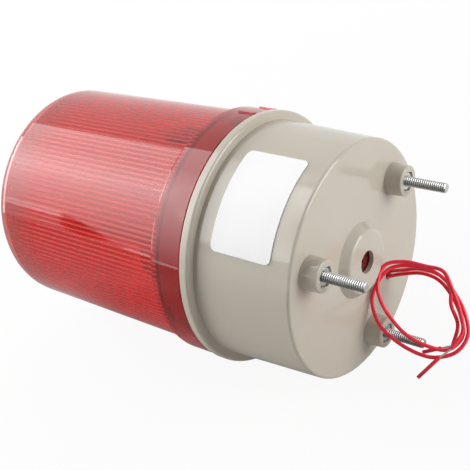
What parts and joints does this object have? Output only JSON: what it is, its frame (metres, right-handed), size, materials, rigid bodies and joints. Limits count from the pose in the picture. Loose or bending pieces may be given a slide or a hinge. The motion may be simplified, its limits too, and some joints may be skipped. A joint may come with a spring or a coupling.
{
  "type": "rotating warning light",
  "caption": "Round warning light: a red fluted lens twist-locked on a beige base with threaded studs and flying leads, and a motor that turns a reflector round the lamp inside.",
  "frame": {"origin": "middle of the mounting plane, which the faces of the three feet share, at the centre of the stud circle", "axes": "+Z along the lamp's axis, from the mounting plane to the top of the lens; one stud lies on +Y"},
  "size_m": [0.103, 0.103, 0.1937],
  "materials": {
    "base_plastic": "moulded beige plastic, satin with a soft gloss",
    "label_film": "blank white self-adhesive film",
    "zinc_steel": "bright zinc plating",
    "seal_rubber": "soft black",
    "lens_plastic": "red translucent moulding, fluted inside",
    "plate_steel": "plated sheet",
    "black_plastic": "moulded",
    "gear_plastic": "natural acetal",
    "post_aluminium": "turned",
    "spring_steel": "blackened",
    "socket_ceramic": "plain",
    "brass": "plain",
    "bulb_glass": "clear",
    "reflector_mirror": "metallised front and back",
    "board_laminate": "solder mask",
    "capacitor_sleeve": "shrink sleeve",
    "sounder_plastic": "dark red-brown moulding",
    "lead_red": "soft PVC insulation",
    "tinned_copper": "twisted tinned strands"
  },
  "bodies": {
    "base": {"base_housing": "base_plastic", "base_label": "label_film", "mounting_screws": "zinc_steel", "mounting_nuts": "zinc_steel", "seal_ring": "seal_rubber", "chassis_plate": "plate_steel", "chassis_screws": "zinc_steel", "motor_can": "plate_steel", "motor_end_cap": "black_plastic", "motor_screws": "zinc_steel", "lamp_post": "post_aluminium", "thrust_washer": "gear_plastic", "retaining_ring": "spring_steel", "lamp_socket": "socket_ceramic", "bulb_cap": "brass", "bulb_glass": "bulb_glass", "driver_board": "board_laminate", "board_screws": "zinc_steel", "board_capacitors": "capacitor_sleeve", "driver_chip": "black_plastic", "terminal_block": "board_laminate", "sounder": "sounder_plastic", "lamp_leads": "lead_red", "motor_leads": "black_plastic", "lead_a": "lead_red", "lead_b": "lead_red", "lead_strands": "tinned_copper", "lead_slugs": "lead_red"},
    "lens": {"lens_cover": "lens_plastic"},
    "rotor": {"drive_gear": "gear_plastic", "gear_bush": "brass", "reflector_bracket": "plate_steel", "bracket_screws": "zinc_steel", "reflector": "reflector_mirror", "reflector_rivets": "post_aluminium"},
    "motor_rotor": {"motor_shaft": "zinc_steel", "pinion": "gear_plastic"}
  },
  "joints": [
    {"name": "lens_twist", "type": "hinge", "parent": "base", "child": "lens", "pos_m": [0, 0, 0.06], "axis": [0, 0, 1], "range_deg": [0, 14]},
    {"name": "rotor_spin", "type": "hinge", "parent": "base", "child": "rotor", "pos_m": [0, 0, 0.048], "axis": [0, 0, 1], "continuous": true},
    {"name": "motor_spin", "type": "hinge", "parent": "base", "child": "motor_rotor", "pos_m": [-0.0256, 0, 0.048], "axis": [0, 0, 1], "continuous": true}
  ],
  "couplings": [
    {"joint": "motor_spin", "follows": "rotor_spin", "ratio": -3}
  ]
}
